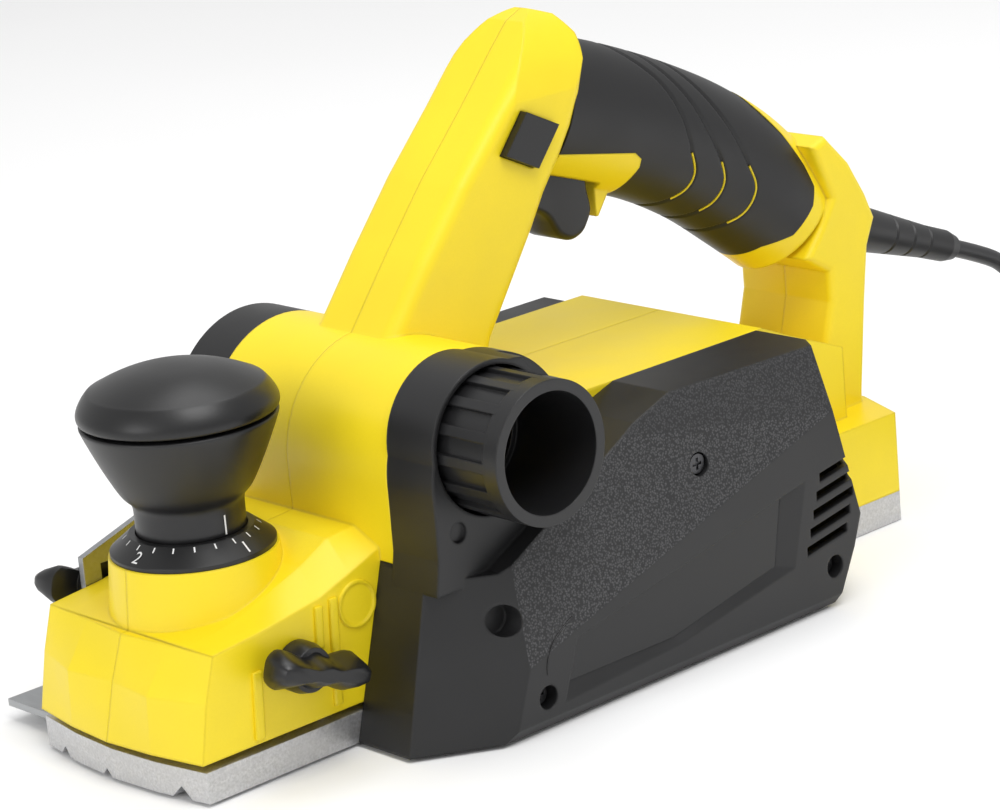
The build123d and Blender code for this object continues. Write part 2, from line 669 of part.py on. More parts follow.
def side_guard():
    side = [(-19, 40), (-8, 41), (6, 36), (28, 18), (31, 12), (31, 4), (28, 1.8), (-10, 1.8), (-19, 10)]
    plate = xz_prism(side, -48.6, -46.4)
    plate += tube_y(GUARD_PIVOT_X, GUARD_PIVOT_Z, 5.0, 2.05, -50.4, -48.5)
    return plate - rod_y(GUARD_PIVOT_X, GUARD_PIVOT_Z, 2.05, -60, -40)


def side_guard_pivot():
    pin = rod_y(GUARD_PIVOT_X, GUARD_PIVOT_Z, 2.0, -51.4, -42.6)
    return pin + rod_y(GUARD_PIVOT_X, GUARD_PIVOT_Z, 4, -52.6, -50.7)


# ---------------------------------------------------------------- belt drive and motor

def belt_loop(gap):
    """The outline round both pulleys, a given distance off them, as an XZ sketch on the belt's inner face."""
    dx = CUT_X - MOTOR_X
    dz = CUT_Z - MOTOR_Z
    big = Pos(dx, dz) * Circle(CUTTER_PULLEY_R + gap)
    small = Circle(MOTOR_PULLEY_R + gap)
    hull = make_hull(big.edges() + small.edges())
    plane = Plane(origin=(MOTOR_X, 0, MOTOR_Z), x_dir=(1, 0, 0), z_dir=(0, -1, 0))
    return plane * hull


def drive_belt():
    y0 = PULLEY_IN + 1.5
    y1 = PULLEY_OUT - 1.5
    outer = extrude(belt_loop(BELT_GAP + BELT_T), amount=-(y1 - y0))
    inner = extrude(belt_loop(BELT_GAP), amount=-(y1 - y0))
    return Pos(0, y0, 0) * (outer - inner)


def pulley(x, z, radius, bore):
    wheel = tube_y(x, z, radius, bore, PULLEY_IN, PULLEY_OUT)
    for y0, y1 in ((PULLEY_IN - 1.2, PULLEY_IN), (PULLEY_OUT, PULLEY_OUT + 1.2)):
        wheel += tube_y(x, z, radius + 1.6, bore, y0, y1)
    for i in range(4):
        y = PULLEY_IN + 3.2 + 2.5 * i
        wheel -= tube_y(x, z, radius + 1, radius - 0.8, y, y + 1.0)
    return wheel


def pulley_nut():
    seat = Plane(origin=(CUT_X, PULLEY_OUT + 1.3, CUT_Z), z_dir=(0, 1, 0))
    hexagon = extrude(seat * RegularPolygon(8.0, 6), 4.5)
    return hexagon - rod_y(CUT_X, CUT_Z, CUTTER_SHAFT_R + 0.03, 60, 90)


def motor_shaft():
    return rod_y(MOTOR_X, MOTOR_Z, MOTOR_SHAFT_R, -46.5, PULLEY_OUT + 3)


def armature_core():
    core = tube_y(MOTOR_X, MOTOR_Z, 17.5, MOTOR_SHAFT_R + 0.03, -8, 22)
    for i in range(12):
        place = Pos(MOTOR_X, 7, MOTOR_Z) * Rot(0, 30 * i, 0) * Pos(16.5, 0, 0)
        core -= place * Box(4, 40, 1.6)
    core += tube_y(MOTOR_X, MOTOR_Z, 14.0, MOTOR_SHAFT_R + 0.03, -12, -8)
    core += tube_y(MOTOR_X, MOTOR_Z, 14.0, MOTOR_SHAFT_R + 0.03, 22, 26)
    return core


def commutator():
    drum = tube_y(MOTOR_X, MOTOR_Z, 11.0, MOTOR_SHAFT_R + 0.03, -30, -14)
    for i in range(12):
        place = Pos(MOTOR_X, -24, MOTOR_Z) * Rot(0, 30 * i + 15, 0) * Pos(11, 0, 0)
        drum -= place * Box(1.4, 14, 0.5)
    return drum


def motor_fan():
    fan = tube_y(MOTOR_X, MOTOR_Z, 30.0, 12.0, 28.5, 30.5)
    fan += tube_y(MOTOR_X, MOTOR_Z, 12.5, MOTOR_SHAFT_R + 0.03, 28.5, 39)
    for i in range(14):
        place = Pos(MOTOR_X, 34, MOTOR_Z) * Rot(0, 360 / 14 * i, 0) * Pos(20.5, 0, 0)
        fan += place * Rot(0, 25, 0) * Box(16, 8, 1.6)
    return fan & rod_y(MOTOR_X, MOTOR_Z, 30.0, 20, 45)


def stator():
    ring = tube_y(MOTOR_X, MOTOR_Z, 34.6, 29.0, -8, 22)
    for side in (-1, 1):
        pole = block(MOTOR_X - 14, MOTOR_X + 14, -8, 22, MOTOR_Z + side * 24.5 - 8, MOTOR_Z + side * 24.5 + 8)
        ring += pole & rod_y(MOTOR_X, MOTOR_Z, 31, -8, 22)
        middle = MOTOR_Z + side * 24
        coil = block(MOTOR_X - 19, MOTOR_X + 19, -11.5, 25.5, middle - 3, middle + 3)
        ring += coil & rod_y(MOTOR_X, MOTOR_Z, 31, -12, 26)
    return ring - rod_y(MOTOR_X, MOTOR_Z, 18.5, -20, 30)


def brush_holders():
    holders = []
    for side in (-1, 1):
        middle = MOTOR_Z + side * 22.5
        holder = block(MOTOR_X - 5, MOTOR_X + 5, -27, -17, middle - 9.5, middle + 9.5)
        holder -= block(MOTOR_X - 3.05, MOTOR_X + 3.05, -25.05, -18.95, MOTOR_Z + side * 21 - 9.5,
                        MOTOR_Z + side * 21 + 9.5)
        holders.append(holder)
    return holders


def carbon_brushes():
    return [block(MOTOR_X - 3, MOTOR_X + 3, -25, -19, MOTOR_Z + side * 17.2 - 6, MOTOR_Z + side * 17.2 + 6)
            for side in (-1, 1)]


# ---------------------------------------------------------------- switch

TRIGGER_SIDE = [(-60.5, 158), (-60.5, 145), (-63, 140.5), (-70, 136.5), (-74.6, 128.5), (-80, 126),
                (-86, 127.6), (-90.6, 134.5), (-88.5, 144), (-90, 152), (-70, 158)]


def trigger():
    body = xz_prism(TRIGGER_SIDE, -9.2, 9.2)
    return body - rod_y(TRIGGER_PIVOT_X, TRIGGER_PIVOT_Z, 1.56, -20, 20)


def trigger_pin():
    return rod_y(TRIGGER_PIVOT_X, TRIGGER_PIVOT_Z, 1.5, -13.5, 13.5)


def trigger_spring():
    return tube_y(-86.5, 157.0, 3.4, 2.2, -4, 4) & block(-95, -70, -5, 5, 153.4, 162)


def switch_body():
    box = block(-121, -99, -5.5, 5.5, 151, 165)
    box += block(-99, -95.5, -4, 4, 155, 161)
    for y in (-4, 4):
        box += block(-124, -121, y - 1.5, y + 1.5, 153, 157)
    return box


def lock_button():
    """The button, with a thin pin that slides inside its spring."""
    x, z = middle_of(LOCK_SIDE)
    return xz_prism(LOCK_SIDE, 10.6, 22.0) + rod_y(x, z, 1.6, 5.1, 10.7)


def lock_spring():
    x, z = middle_of(LOCK_SIDE)
    return tube_y(x, z, 3.0, 2.0, 2.1, 7.5)


# ---------------------------------------------------------------- lead

def cord_guard():
    """Tapered rubber sleeve with three grooves."""
    length = GUARD_LENGTH
    outline = [(LEAD_R + 0.05, 0), (9.0, 0), (8.9, 12)]
    for start in (33.0, 44.0, 54.5):
        radius = 8.9 - (start - 12) * 0.062
        outline += [(radius, start - 0.8), (radius - 0.9, start), (radius - 0.1, start + 0.8)]
    outline += [(6.0, length - 5), (GUARD_TIP_R, length), (LEAD_R + 0.05, length)]
    wire = Wire.make_polygon([(r, 0, z) for r, z in outline], close=True)
    return Plane(origin=GUARD_START, z_dir=guard_direction()) * revolve(Face(wire), Axis.Z)


def cord_clamp():
    bar = block(CLAMP_X - 2.2, CLAMP_X + 2.2, -8, 8, CLAMP_Z - 3.8, CLAMP_Z + 3.8)
    return bar - rod(guard_point(-20), guard_direction(), LEAD_R + 0.1, 40)


def lead_route():
    """Corner points of the lead between its guard and the coil, lying on the ground at the end."""
    x0, _, z0 = guard_point(GUARD_LENGTH)
    x1, _, z1 = guard_point(GUARD_LENGTH + 12)
    floor = LEAD_R
    outer_x = COIL_CENTRE[0] - COIL_MID_R - LEAD_D
    return [
        (x0, 0.0, z0), (x1, 0.0, z1), (-311.5, 1.0, 64.0), (-324.0, 3.0, 47.0), (-333.0, 4.5, 27.0),
        (-343.0, 5.5, 11.0), (-358.0, 8.0, floor + 0.6), (-373.0, 17.0, floor), (outer_x + 0.7, 37.0, floor),
        (outer_x, 58.0, floor),
    ]


def rounded_path(points):
    """Straight runs joined by the largest tangent arcs that the runs allow."""
    vectors = [Vector(*p) for p in points]
    radii = []
    for before, corner, after in zip(vectors, vectors[1:], vectors[2:]):
        turn = math.radians((corner - before).get_angle(after - corner))
        shorter = min((corner - before).length, (after - corner).length)
        radii.append(0.45 * shorter / math.tan(turn / 2))
    print("lead radii", [round(r, 1) for r in radii])
    return FilletPolyline(*points, radius=radii)


def mains_lead():
    path = rounded_path(lead_route())
    start = Plane(origin=path @ 0, z_dir=path % 0)
    tube = sweep(start * Circle(LEAD_R), path=path)
    expected = math.pi * LEAD_R ** 2 * path.length
    print("lead length", round(path.length, 1), "volume ratio", round(tube.volume / expected, 4))
    return tube


def lead_coil():
    half_width = COIL_TURNS_ACROSS * LEAD_D / 2
    height = COIL_TURNS_UP * LEAD_D
    x, y = COIL_CENTRE
    outline = [(COIL_MID_R - half_width, 0.1), (COIL_MID_R + half_width, 0.1),
               (COIL_MID_R + half_width, height), (COIL_MID_R - half_width, height)]
    coil = turned(outline, x, y)
    turns = COIL_TURNS_ACROSS * COIL_TURNS_UP
    print("coil length", round(turns * 2 * math.pi * COIL_MID_R, 1))
    return coil


def tail_start():
    """Where the lead leaves the coil's top outer turn, heading for the plug."""
    x, y = COIL_CENTRE
    return (x + 15.5, y + COIL_MID_R + LEAD_D, COIL_TURNS_UP * LEAD_D - LEAD_R)


def lead_tail():
    return rod(tail_start(), (1, 0, 0), LEAD_R, TAIL_LENGTH)


def plug_body():
    """Flat two-pin contour plug, lying beside the coil on its flat."""
    x, y, z = tail_start()
    x += TAIL_LENGTH
    disc = rod((x + 25, y, z), (1, 0, 0), 18.5, 12) & block(x, x + 60, y - 30, y + 30, z - 15.5, z + 15.5)
    neck = ruled([(x + 9, y - 6, z - 6), (x + 9, y + 6, z - 6), (x + 9, y + 6, z + 6), (x + 9, y - 6, z + 6)],
                 [(x + 26, y - 11, z - 12), (x + 26, y + 11, z - 12), (x + 26, y + 11, z + 12),
                  (x + 26, y - 11, z + 12)])
    return disc + neck + rod((x, y, z), (1, 0, 0), 5.2, 10)


def plug_pins():
    x, y, z = tail_start()
    return [rod((x + TAIL_LENGTH + 37, y + dy, z), (1, 0, 0), 2.4, 19) for dy in (-9.5, 9.5)]


# ---------------------------------------------------------------- accessories

def depth_stop():
    side = [(70, 5), (110.5, 5), (110.5, 14), (96, 30), (96, 57), (72, 64.5), (70, 64)]
    plate = xz_prism(side, -43.8, -41.3)
    plate += block(72, 110.5, STOP_FOOT_Y, -43, 5, 7.4)
    slot = block(STOP_CLAMP_X - 3.4, STOP_CLAMP_X + 3.4, -50, -40, STOP_CLAMP_Z - 9, STOP_CLAMP_Z + 9)
    return plate - slot


def clamp_bolt(x, z, y_face, outward):
    """The threaded shank behind a clamping knob; outward is +1 on the left side and -1 on the right."""
    inner = y_face - outward * 12
    return rod_y(x, z, 3.0, min(y_face, inner), max(y_face, inner))


def wing_knob(x, z, y_face, outward, tilt):
    """A two-winged clamping knob."""
    pieces = [rod_y(x, z, 8.2, min(y_face, y_face + outward * 13), max(y_face, y_face + outward * 13))]
    for side in (-1, 1):
        wing = [(side * 3, -6.5), (side * 11, -5.5), (side * 16.5, -4), (side * 18, 1), (side * 16.5, 6),
                (side * 11, 6.5), (side * 3, 6.0)]
        y0 = y_face + outward * 5
        y1 = y_face + outward * 17
        c = math.cos(math.radians(tilt))
        s = math.sin(math.radians(tilt))
        placed = [(x + u * c - v * s, z + u * s + v * c) for u, v in wing]
        pieces.append(xz_prism(placed, min(y0, y1), max(y0, y1)))
    return joined(pieces)


# ---------------------------------------------------------------- everything

def all_nodes():
    whole = housing()
    knives, bars, screws = cutter_inserts()
    return {
        "rear_sole": rear_sole(),
        "front_shoe": front_shoe(),
        "shoe_guides": shoe_guides(),
        "shoe_spring": shoe_spring(),
        "sole_screws": sole_screws(),
        "parking_foot": parking_foot(),
        "parking_foot_pin": parking_foot_pin(),
        "housing_left": housing_half(whole, 1),
        "housing_right": housing_half(whole, -1),
        "grip_sleeve": grip_sleeve(),
        "belt_cover": belt_cover(),
        "cover_panel": cover_panel(),
        "cover_screws": cover_screws(),
        "side_cover_right": side_cover_right(),
        "chip_port": chip_port(),
        "dial_ring": dial_ring(),
        "knob_body": knob_body(),
        "knob_cap": knob_cap(),
        "knob_spindle": knob_spindle(),
        "cutter_block": cutter_block(),
        "knives": knives,
        "knife_clamps": bars,
        "knife_screws": screws,
        "cutter_bearing_left": bearing(CUT_X, CUT_Z, 12.0, CUTTER_SHAFT_R + 0.03, 41.6, 47.6),
        "cutter_bearing_right": bearing(CUT_X, CUT_Z, 11.0, CUTTER_SHAFT_R + 0.03, -45.6, -41.2),
        "side_guard": side_guard(),
        "side_guard_pivot": side_guard_pivot(),
        "drive_belt": drive_belt(),
        "cutter_pulley": pulley(CUT_X, CUT_Z, CUTTER_PULLEY_R, CUTTER_SHAFT_R + 0.03),
        "cutter_pulley_nut": pulley_nut(),
        "motor_pulley": pulley(MOTOR_X, MOTOR_Z, MOTOR_PULLEY_R, MOTOR_SHAFT_R + 0.03),
        "motor_shaft": motor_shaft(),
        "armature_core": armature_core(),
        "commutator": commutator(),
        "motor_fan": motor_fan(),
        "stator": stator(),
        "motor_bearing_left": bearing(MOTOR_X, MOTOR_Z, 11.0, MOTOR_SHAFT_R + 0.03, 41.2, 47.2),
        "motor_bearing_right": bearing(MOTOR_X, MOTOR_Z, 9.5, MOTOR_SHAFT_R + 0.03, -46.8, -41.0),
        "brush_holders": brush_holders(),
        "carbon_brushes": carbon_brushes(),
        "switch_body": switch_body(),
        "trigger": trigger(),
        "trigger_pin": trigger_pin(),
        "trigger_spring": trigger_spring(),
        "lock_button": lock_button(),
        "lock_spring": lock_spring(),
        "cord_guard": cord_guard(),
        "cord_clamp": cord_clamp(),
        "mains_lead": mains_lead(),
        "lead_coil": lead_coil(),
        "lead_tail": lead_tail(),
        "plug_body": plug_body(),
        "plug_pins": plug_pins(),
        "depth_stop": depth_stop(),
        "depth_stop_knob": wing_knob(STOP_CLAMP_X, STOP_CLAMP_Z, -44.0, -1, 12),
        "guide_clamp_knob": wing_knob(GUIDE_CLAMP_X, GUIDE_CLAMP_Z, 41.3, 1, 18),
        "stop_bolt": clamp_bolt(STOP_CLAMP_X, STOP_CLAMP_Z, -44.0, -1),
        "guide_bolt": clamp_bolt(GUIDE_CLAMP_X, GUIDE_CLAMP_Z, 41.3, 1),
    }


def save(name, shape):
    solids = []
    for item in shape if isinstance(shape, list) else [shape]:
        solids += item.solids()
    moved = [SHIFT * solid for solid in solids]
    node = moved[0] if len(moved) == 1 else Compound(children=moved)
    node.label = name
    export_step(node, "parts/" + name + ".step")


os.makedirs("parts", exist_ok=True)
for node_name, node_shape in all_nodes().items():
    save(node_name, node_shape)
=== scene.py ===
import json
import math

import bmesh
import bpy
import numpy as np
from mathutils import Matrix, Vector


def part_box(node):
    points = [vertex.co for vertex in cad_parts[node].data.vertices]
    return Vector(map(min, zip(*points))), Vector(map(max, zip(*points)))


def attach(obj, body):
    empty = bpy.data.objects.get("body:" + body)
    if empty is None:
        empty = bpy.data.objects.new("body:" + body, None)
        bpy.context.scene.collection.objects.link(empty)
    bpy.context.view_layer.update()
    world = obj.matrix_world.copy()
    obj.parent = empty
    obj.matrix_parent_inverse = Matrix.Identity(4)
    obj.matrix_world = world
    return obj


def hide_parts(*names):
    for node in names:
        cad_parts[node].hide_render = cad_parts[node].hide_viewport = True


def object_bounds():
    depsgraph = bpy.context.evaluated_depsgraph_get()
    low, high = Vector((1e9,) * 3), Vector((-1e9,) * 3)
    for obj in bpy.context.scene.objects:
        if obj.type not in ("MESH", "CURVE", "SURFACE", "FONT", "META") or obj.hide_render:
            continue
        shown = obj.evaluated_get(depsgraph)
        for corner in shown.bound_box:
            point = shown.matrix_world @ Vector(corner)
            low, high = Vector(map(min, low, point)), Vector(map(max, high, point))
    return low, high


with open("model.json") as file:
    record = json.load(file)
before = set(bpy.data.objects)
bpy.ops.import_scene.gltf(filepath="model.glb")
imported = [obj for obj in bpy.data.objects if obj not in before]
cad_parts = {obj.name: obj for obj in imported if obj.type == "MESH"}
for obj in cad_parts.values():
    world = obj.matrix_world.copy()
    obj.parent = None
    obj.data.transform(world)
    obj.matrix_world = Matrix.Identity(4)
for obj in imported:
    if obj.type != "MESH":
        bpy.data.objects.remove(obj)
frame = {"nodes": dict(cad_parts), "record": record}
cad_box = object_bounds()

MM = 0.001
TOOL_BODY = "planer_body"

# The tool's own frame, in millimetres: +X forward, +Y to the belt side, z = 0 on the rear sole's face.
# Its place in the shared frame is read off the rear sole, which is centred on y = 0.
SOLE_BACK_X = -209
sole_low, sole_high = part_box("rear_sole")
SHIFT_X = sole_low[0] - SOLE_BACK_X * MM
SHIFT_Y = (sole_low[1] + sole_high[1]) / 2


def at(x, y, z):
    return Vector((x * MM + SHIFT_X, y * MM + SHIFT_Y, z * MM))


# ---------------------------------------------------------------- camera

CAMERA_PLACE = (694.5, 834.4, 403.9)
CAMERA_AZIMUTH = math.radians(41.71)
CAMERA_ELEVATION = math.radians(16.35)
CAMERA_ROLL = math.radians(-5.07)
CAMERA_LENS = 126
SENSOR_WIDTH = 36


def add_camera():
    level = math.cos(CAMERA_ELEVATION)
    back = Vector((math.sin(CAMERA_AZIMUTH) * level, math.cos(CAMERA_AZIMUTH) * level,
                   math.sin(CAMERA_ELEVATION)))
    right = Vector((0, 0, 1)).cross(back).normalized()
    up = back.cross(right)
    x_axis = right * math.cos(CAMERA_ROLL) + up * math.sin(CAMERA_ROLL)
    y_axis = up * math.cos(CAMERA_ROLL) - right * math.sin(CAMERA_ROLL)
    data = bpy.data.cameras.new("camera")
    data.sensor_width = SENSOR_WIDTH
    data.lens = CAMERA_LENS
    camera = bpy.data.objects.new("camera", data)
    turn = Matrix((x_axis, y_axis, back)).transposed()
    camera.matrix_world = Matrix.Translation(at(*CAMERA_PLACE)) @ turn.to_4x4()
    bpy.context.collection.objects.link(camera)
    bpy.context.scene.camera = camera


add_camera()

# ---------------------------------------------------------------- lead

LEAD_D = 6.6
GUARD_START = Vector((-213, 0, 101.9))
GUARD_SLOPE = math.radians(20.3)
GUARD_LENGTH = 73
COIL_X = -335
COIL_Y = 76
COIL_MID_R = 38.5
COIL_START = math.radians(172)
POINTS_PER_TURN = 16
# A smooth curve runs a little inside its control points, so these stand a little further out
CONTROL_GROWTH = 1.013
# How many of a turn's last points lead over to the next turn
CROSSING = 5


def guard_point(distance):
    return GUARD_START + Vector((-math.cos(GUARD_SLOPE), 0, -math.sin(GUARD_SLOPE))) * distance


def coil_points():
    """Nine turns, laid in columns, from the outer turn on the floor to the outer turn on top."""
    order = [(1, 0), (0, 0), (-1, 0), (-1, 1), (-1, 2), (0, 2), (0, 1), (1, 1), (1, 2)]
    last = len(order) - 1
    points = []
    for turn, (column, level) in enumerate(order):
        next_column, next_level = order[min(turn + 1, last)]
        steps = POINTS_PER_TURN if turn < last else POINTS_PER_TURN * 3 // 4
        for step in range(steps):
            share = max(0.0, (step - POINTS_PER_TURN + CROSSING) / CROSSING) if turn < last else 0.0
            ring = column + (next_column - column) * share
            height = level + (next_level - level) * share
            angle = COIL_START - 2 * math.pi * step / POINTS_PER_TURN
            radius = (COIL_MID_R + ring * LEAD_D) * CONTROL_GROWTH
            points.append((COIL_X + radius * math.cos(angle), COIL_Y + radius * math.sin(angle),
                           LEAD_D / 2 + height * LEAD_D))
    return points


def add_lead():
    start = guard_point(GUARD_LENGTH)
    straight = guard_point(GUARD_LENGTH + 12)
    floor = LEAD_D / 2
    route = [tuple(start), tuple(straight), (-311.5, 1, 64), (-324, 3, 47), (-333, 4.5, 27),
             (-343, 5.5, 11), (-358, 8, floor + 0.6), (-373, 17, floor), (-379.4, 37, floor),
             (-380.1, 58, floor)]
    top = 2.5 * LEAD_D
    outer = COIL_Y + COIL_MID_R + LEAD_D
    end = [(-333, outer, top), (-319.5, outer, top), (-303.5, outer, top)]
    points = route + coil_points() + end
    data = bpy.data.curves.new("mains_lead_form", "CURVE")
    data.dimensions = "3D"
    spline = data.splines.new("NURBS")
    spline.points.add(len(points) - 1)
    for point, place in zip(spline.points, points):
        point.co = (*at(*place), 1.0)
        point.radius = LEAD_D / 2 * MM
    spline.order_u = 3
    spline.use_endpoint_u = True
    data.resolution_u = 5
    data.bevel_depth = 1.0
    data.bevel_resolution = 4
    data.use_fill_caps = True
    lead = bpy.data.objects.new("mains_lead_form", data)
    bpy.context.collection.objects.link(lead)
    return lead


lead = add_lead()
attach(lead, TOOL_BODY)
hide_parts("mains_lead", "lead_coil", "lead_tail")

# ---------------------------------------------------------------- materials


class Nodes:
    """A small builder for one material's nodes."""

    def __init__(self, name):
        self.material = bpy.data.materials.new(name)
        self.material.use_nodes = True
        self.tree = self.material.node_tree
        self.shader = self.tree.nodes["Principled BSDF"]
        self.place = self.add("ShaderNodeTexCoord").outputs["Object"]

    def add(self, kind, **settings):
        node = self.tree.nodes.new(kind)
        for key, value in settings.items():
            if key in node.inputs:
                node.inputs[key].default_value = value
            else:
                setattr(node, key, value)
        return node

    def link(self, output, target):
        self.tree.links.new(output, target)

    def noise(self, size_mm, detail=3.0, stretch=None):
        node = self.add("ShaderNodeTexNoise", Scale=1000 / size_mm, Detail=detail)
        place = self.place
        if stretch:
            mapping = self.add("ShaderNodeMapping", Scale=stretch)
            self.link(place, mapping.inputs["Vector"])
            place = mapping.outputs["Vector"]
        self.link(place, node.inputs["Vector"])
        return node.outputs["Fac"]

    def cells(self, size_mm):
        node = self.add("ShaderNodeTexVoronoi", Scale=1000 / size_mm)
        self.link(self.place, node.inputs["Vector"])
        return node.outputs["Distance"]

    def ramp(self, factor, low, high, start=0.3, end=0.7):
        node = self.add("ShaderNodeMapRange")
        node.inputs["From Min"].default_value = start
        node.inputs["From Max"].default_value = end
        node.inputs["To Min"].default_value = low
        node.inputs["To Max"].default_value = high
        self.link(factor, node.inputs["Value"])
        return node.outputs["Result"]

    def mix(self, factor, first, second):
        node = self.add("ShaderNodeMix", data_type="RGBA")
        self.set_colour(node.inputs[6], first)
        self.set_colour(node.inputs[7], second)
        self.link(factor, node.inputs[0])
        return node.outputs[2]

    def set_colour(self, socket, value):
        if isinstance(value, (tuple, list)):
            socket.default_value = (*value, 1.0)
        else:
            self.link(value, socket)

    def blend_values(self, factor, first, second):
        node = self.add("ShaderNodeMix", data_type="FLOAT")
        for socket, value in ((node.inputs[2], first), (node.inputs[3], second)):
            if isinstance(value, float):
                socket.default_value = value
            else:
                self.link(value, socket)
        self.link(factor, node.inputs[0])
        return node.outputs[0]

    def facing(self, direction, tolerance=0.002):
        """1 where the surface lies in planes of one direction."""
        geometry = self.add("ShaderNodeNewGeometry")
        dot = self.add("ShaderNodeVectorMath", operation="DOT_PRODUCT")
        self.link(geometry.outputs["True Normal"], dot.inputs[0])
        dot.inputs[1].default_value = Vector(direction).normalized()
        return self.ramp(dot.outputs["Value"], 0.0, 1.0, 1 - 2 * tolerance, 1 - tolerance)

    def edges(self, radius_mm, height=None, strength=0.2, depth_mm=0.05):
        """Softly rounded edges, with a fine surface relief on top."""
        bevel = self.add("ShaderNodeBevel", samples=4, Radius=radius_mm * MM)
        normal = bevel.outputs["Normal"]
        if height is not None:
            bump = self.add("ShaderNodeBump", Strength=strength, Distance=depth_mm * MM)
            self.link(height, bump.inputs["Height"])
            self.link(normal, bump.inputs["Normal"])
            normal = bump.outputs["Normal"]
        self.link(normal, self.shader.inputs["Normal"])


def moulded(name, colour, rough, radius_mm=1.0, grain_mm=0.5, depth_mm=0.04, strength=0.25, spread=0.12):
    """Moulded plastic or rubber: fine spark-eroded grain, and slow changes in colour and gloss."""
    nodes = Nodes(name)
    slow = nodes.noise(28.0, 2.0)
    fine = nodes.noise(grain_mm, 2.0)
    darker = tuple(c * (1 - spread) for c in colour)
    lighter = tuple(min(1.0, c * (1 + spread * 0.6)) for c in colour)
    body = nodes.mix(nodes.ramp(slow, 0.0, 1.0), darker, lighter)
    body = nodes.mix(nodes.ramp(fine, 0.0, 0.35), body, tuple(c * (1 - 1.6 * spread) for c in colour))
    nodes.link(body, nodes.shader.inputs["Base Color"])
    nodes.link(nodes.ramp(slow, rough - 0.05, rough + 0.06), nodes.shader.inputs["Roughness"])
    nodes.edges(radius_mm, fine, strength, depth_mm)
    return nodes.material


def cast_metal(name, colour, rough, radius_mm=0.4, grain_mm=0.8, spread=0.25):
    """Ground or cast metal: a mottled, slightly streaked surface."""
    nodes = Nodes(name)
    mottled = nodes.noise(grain_mm, 4.0)
    streaks = nodes.noise(6.0, 3.0, stretch=(0.25, 1.0, 3.0))
    body = nodes.mix(nodes.ramp(mottled, 0.0, 1.0), tuple(c * (1 - spread) for c in colour),
                     tuple(min(1.0, c * (1 + spread * 0.5)) for c in colour))
    body = nodes.mix(nodes.ramp(streaks, 0.0, 0.5), body, tuple(c * 0.8 for c in colour))
    nodes.link(body, nodes.shader.inputs["Base Color"])
    nodes.shader.inputs["Metallic"].default_value = 0.85
    nodes.link(nodes.ramp(mottled, rough - 0.08, rough + 0.1), nodes.shader.inputs["Roughness"])
    nodes.edges(radius_mm, mottled, 0.35, 0.06)
    return nodes.material


def machined(name, colour, rough, radius_mm=0.3, spread=0.15):
    """Turned, ground or blackened steel and alloy."""
    nodes = Nodes(name)
    streaks = nodes.noise(1.2, 3.0, stretch=(1.0, 0.15, 1.0))
    body = nodes.mix(nodes.ramp(streaks, 0.0, 1.0), tuple(c * (1 - spread) for c in colour), colour)
    nodes.link(body, nodes.shader.inputs["Base Color"])
    nodes.shader.inputs["Metallic"].default_value = 0.95
    nodes.link(nodes.ramp(streaks, rough - 0.06, rough + 0.08), nodes.shader.inputs["Roughness"])
    nodes.edges(radius_mm, streaks, 0.12, 0.03)
    return nodes.material


# The belt cover's slanted band: one of its points and its direction
BAND_POINT = (21.5, 83, 23)
BAND_NORMAL = (287, 4385, 906)


def cover_plastic():
    """The belt cover's plastic: plain matte faces, and one coarse grained band with painted glints on its
    grain.
    """
    nodes = Nodes("cover_plastic")
    slow = nodes.noise(30.0, 2.0)
    fine = nodes.noise(0.45, 2.0)
    coarse = nodes.cells(0.75)
    band = nodes.facing(BAND_NORMAL)
    plain = nodes.mix(nodes.ramp(slow, 0.0, 1.0), (0.0085, 0.0085, 0.009), (0.012, 0.012, 0.0128))
    # Bright specks on the grained band: painted glints off the coarse grain; the grain's relief itself is
    # real.
    painted_grain_glints = nodes.mix(nodes.ramp(coarse, 0.0, 1.0, 0.1, 0.6), (0.085, 0.085, 0.088),
                        (0.016, 0.016, 0.017))
    nodes.link(nodes.mix(band, plain, painted_grain_glints), nodes.shader.inputs["Base Color"])
    rough = nodes.blend_values(band, nodes.ramp(slow, 0.40, 0.50), 0.62)
    nodes.link(rough, nodes.shader.inputs["Roughness"])
    height = nodes.blend_values(band, nodes.ramp(fine, 0.0, 0.3, 0.2, 0.8),
                                nodes.ramp(coarse, 1.0, 0.0, 0.0, 0.7))
    nodes.edges(1.3, height, 0.35, 0.10)
    return nodes.material


YELLOW = moulded("yellow_shell", (0.90, 0.695, 0.010), 0.40, 1.4, 0.7, 0.03, 0.22, 0.04)
COVER = cover_plastic()
BLACK = moulded("black_shell", (0.010, 0.010, 0.0108), 0.44, 1.2, 0.55, 0.05, 0.3)
RUBBER = moulded("grip_rubber", (0.009, 0.009, 0.0097), 0.46, 0.6, 0.5, 0.05, 0.3)
PANEL = moulded("panel_black", (0.0035, 0.0035, 0.004), 0.22, 0.3, 3.0, 0.01, 0.1)
PORT = moulded("port_black", (0.012, 0.012, 0.0128), 0.38, 0.7, 0.7, 0.03, 0.25)
DIAL = moulded("dial_black", (0.010, 0.010, 0.0105), 0.35, 0.5, 0.5, 0.03, 0.2)
KNOB = moulded("knob_black", (0.012, 0.012, 0.0128), 0.38, 0.8, 0.7, 0.03, 0.25)
KNOB_TOP = moulded("knob_cap_black", (0.007, 0.007, 0.0075), 0.36, 0.8, 0.55, 0.06, 0.4)
SMALL_BLACK = moulded("small_black", (0.008, 0.008, 0.0086), 0.34, 0.5, 0.5, 0.03, 0.25)
BELT = moulded("belt_rubber", (0.018, 0.018, 0.018), 0.6, 0.3, 0.6, 0.05, 0.4)
GUARD = moulded("guard_rubber", (0.014, 0.014, 0.015), 0.44, 0.4, 0.6, 0.03, 0.25)
LEAD = moulded("lead_rubber", (0.026, 0.026, 0.028), 0.42, 0.2, 0.8, 0.02, 0.2)
SOLE = cast_metal("sole_metal", (0.62, 0.62, 0.63), 0.42)
PLATE = machined("stop_plate", (0.44, 0.45, 0.46), 0.45)
